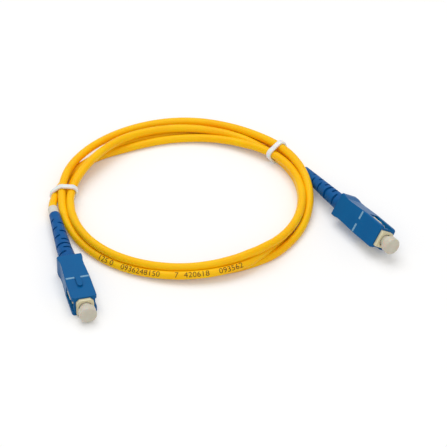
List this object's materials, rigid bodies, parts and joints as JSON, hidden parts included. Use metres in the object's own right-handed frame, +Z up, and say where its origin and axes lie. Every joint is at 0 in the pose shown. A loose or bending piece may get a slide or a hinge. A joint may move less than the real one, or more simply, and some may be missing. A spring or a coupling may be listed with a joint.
{
  "type": "fiber optic patch cord",
  "caption": "Simplex fiber optic patch cord in a tied coil, with a square push-pull plug, slotted strain-relief boot and dust cap at each end.",
  "frame": {"origin": "the plane the cord lies on, under the middle of the box round its two plugs, boots and caps", "axes": "+Z is up from the plane; the coil lies towards +Y of the plugs, plug A is at -X and plug B at +X"},
  "size_m": [0.1261, 0.1183, 0.0118],
  "materials": {
    "jacket": "satin",
    "tie": "satin",
    "marker": "matte",
    "grip": "satin",
    "frame": "satin",
    "zirconia": "polished",
    "flange": "satin",
    "spring": "satin",
    "buffer": "satin",
    "rear_body": "plated",
    "aramid": "fibrous",
    "crimp": "satin",
    "boot": "satin",
    "cap": "translucent"
  },
  "bodies": {
    "cord": {"cord_coil": "jacket", "cord_tail_a": "jacket", "cord_tail_b": "jacket", "tie_left": "tie", "tie_right": "tie", "marker_band": "marker", "plug_frame_a": "frame", "rear_body_a": "rear_body", "aramid_yarn_a": "aramid", "crimp_sleeve_a": "crimp", "boot_a": "boot", "spring_a": "spring", "plug_frame_b": "frame", "rear_body_b": "rear_body", "aramid_yarn_b": "aramid", "crimp_sleeve_b": "crimp", "boot_b": "boot", "spring_b": "spring"},
    "grip_a": {"grip_a": "grip"},
    "ferrule_a": {"ferrule_a": "zirconia", "ferrule_flange_a": "flange", "fiber_core_a": "buffer"},
    "cap_a": {"dust_cap_a": "cap"},
    "grip_b": {"grip_b": "grip"},
    "ferrule_b": {"ferrule_b": "zirconia", "ferrule_flange_b": "flange", "fiber_core_b": "buffer"},
    "cap_b": {"dust_cap_b": "cap"}
  },
  "joints": [
    {"name": "grip_a_slide", "type": "slide", "parent": "cord", "child": "grip_a", "axis": [0.2588, -0.9659, 0], "range_m": [-0.002, 0]},
    {"name": "ferrule_a_slide", "type": "slide", "parent": "cord", "child": "ferrule_a", "axis": [0.2588, -0.9659, 0], "range_m": [-0.0015, 0], "stiffness_N_per_m": 1500, "deforming": ["spring_a"]},
    {"name": "cap_a_slide", "type": "slide", "parent": "ferrule_a", "child": "cap_a", "axis": [0.2588, -0.9659, 0], "range_m": [0, 0.012]},
    {"name": "grip_b_slide", "type": "slide", "parent": "cord", "child": "grip_b", "axis": [0.5297, -0.8478, 0.0262], "range_m": [-0.002, 0]},
    {"name": "ferrule_b_slide", "type": "slide", "parent": "cord", "child": "ferrule_b", "axis": [0.5297, -0.8478, 0.0262], "range_m": [-0.0015, 0], "stiffness_N_per_m": 1500, "deforming": ["spring_b"]},
    {"name": "cap_b_slide", "type": "slide", "parent": "ferrule_b", "child": "cap_b", "axis": [0.5297, -0.8478, 0.0262], "range_m": [0, 0.012]}
  ]
}
